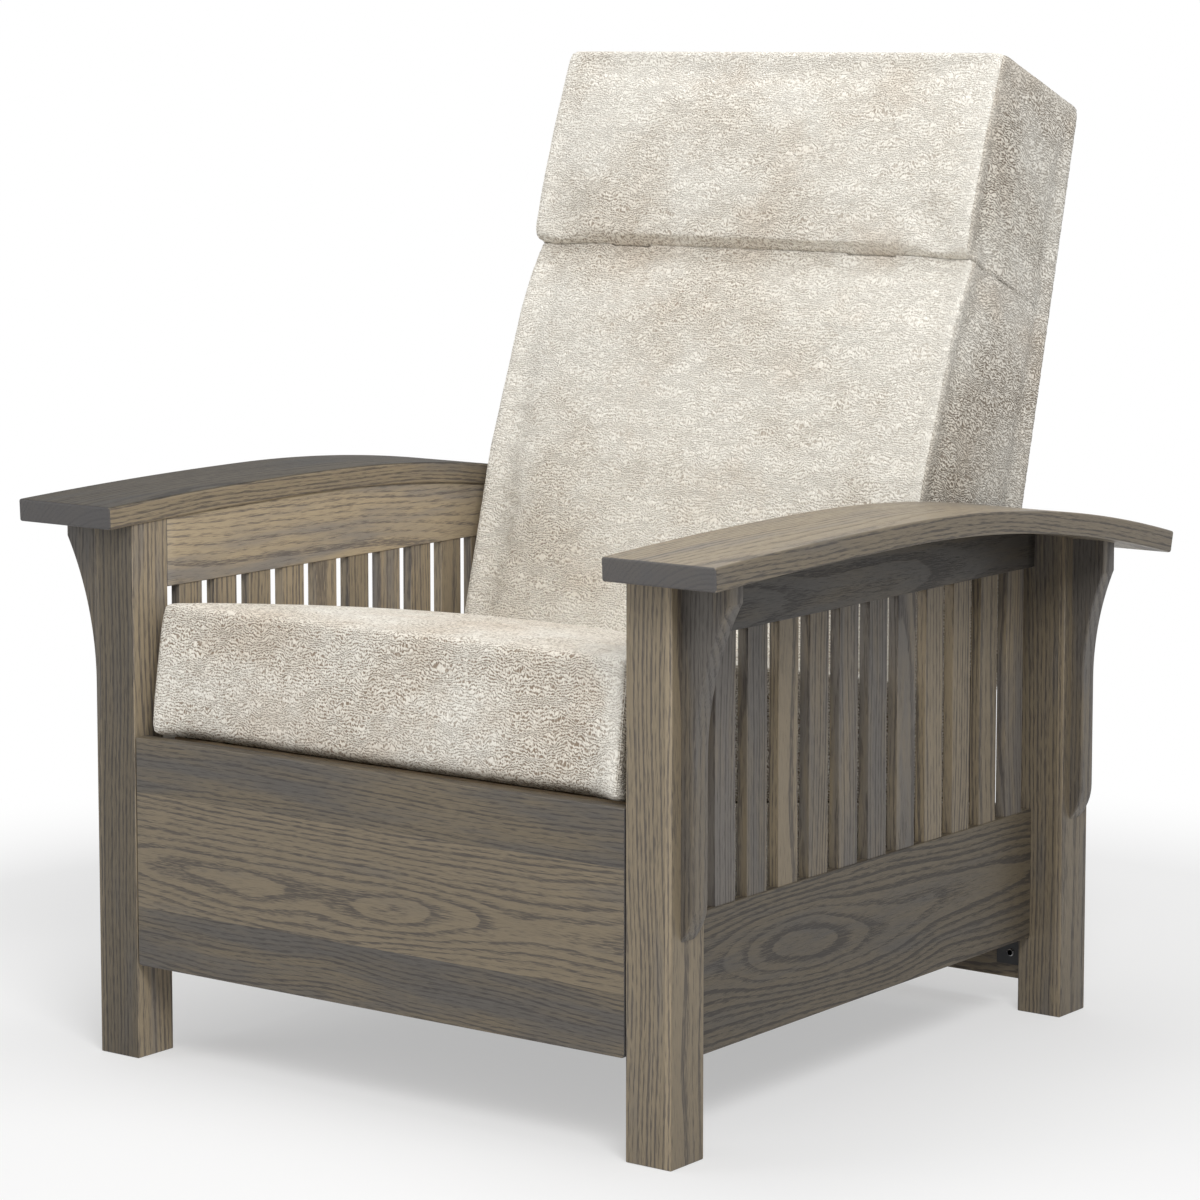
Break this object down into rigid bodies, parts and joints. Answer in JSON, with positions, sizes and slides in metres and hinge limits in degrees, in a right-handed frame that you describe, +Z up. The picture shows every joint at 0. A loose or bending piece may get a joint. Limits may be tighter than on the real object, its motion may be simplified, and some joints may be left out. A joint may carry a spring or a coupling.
{
  "type": "reclining lounge chair",
  "caption": "Bow-arm slat-sided lounge chair in stained oak with an upholstered seat, a reclining padded back with head pillow, and a pull-out footrest behind its front panel.",
  "frame": {"origin": "on the floor, under the middle of the chair's overall box", "axes": "+Z up; the chair faces -Y; +X is to the right as seen by someone standing in front of it"},
  "size_m": [0.9506, 0.9892, 1.1206],
  "materials": {
    "stained_oak": "satin",
    "frame_hardwood": "matte",
    "upholstery": "satin",
    "webbing": "matte",
    "dust_cloth": "matte",
    "bumper_rubber": "matte",
    "black_steel": "satin",
    "zinc_steel": "satin"
  },
  "bodies": {
    "frame": {"post_front_left": "stained_oak", "post_front_right": "stained_oak", "post_rear_left": "stained_oak", "post_rear_right": "stained_oak", "arm_left": "stained_oak", "arm_right": "stained_oak", "upper_rail_left": "stained_oak", "upper_rail_right": "stained_oak", "lower_rail_left": "stained_oak", "lower_rail_right": "stained_oak", "slats_left": "stained_oak", "slats_right": "stained_oak", "corbel_front_left": "stained_oak", "corbel_front_right": "stained_oak", "corbel_rear_left": "stained_oak", "corbel_rear_right": "stained_oak", "rear_rail": "stained_oak", "front_stretcher": "frame_hardwood", "corner_blocks": "frame_hardwood", "panel_bumpers": "bumper_rubber", "seat_ledger_left": "frame_hardwood", "seat_ledger_right": "frame_hardwood", "seat_side_left": "upholstery", "seat_side_right": "upholstery", "seat_front_rail": "frame_hardwood", "seat_cross_rail": "frame_hardwood", "seat_tail_rail": "frame_hardwood", "seat_webbing": "webbing", "dust_cover": "dust_cloth", "seat_cushion": "upholstery", "rear_strap_left": "black_steel", "rear_strap_right": "black_steel", "runner_fixed_left": "zinc_steel", "runner_fixed_right": "zinc_steel", "recline_pins": "zinc_steel", "back_stop_pins": "zinc_steel"},
    "footrest": {"front_panel": "stained_oak", "footrest_board": "frame_hardwood", "footrest_side_left": "frame_hardwood", "footrest_side_right": "frame_hardwood", "footrest_pad": "upholstery", "panel_cleat": "frame_hardwood", "runner_moving_left": "zinc_steel", "runner_moving_right": "zinc_steel"},
    "back": {"back_shell": "upholstery", "back_cushion": "upholstery", "head_pillow": "upholstery", "back_bracket_left": "black_steel", "back_bracket_right": "black_steel"}
  },
  "joints": [
    {"name": "footrest_slide", "type": "slide", "parent": "frame", "child": "footrest", "axis": [0, -0.9877, 0.1564], "range_m": [0, 0.33]},
    {"name": "back_recline", "type": "hinge", "parent": "frame", "child": "back", "pos_m": [0, 0.23337, 0.24006], "axis": [-1, 0, 0], "range_deg": [0, 35]}
  ]
}
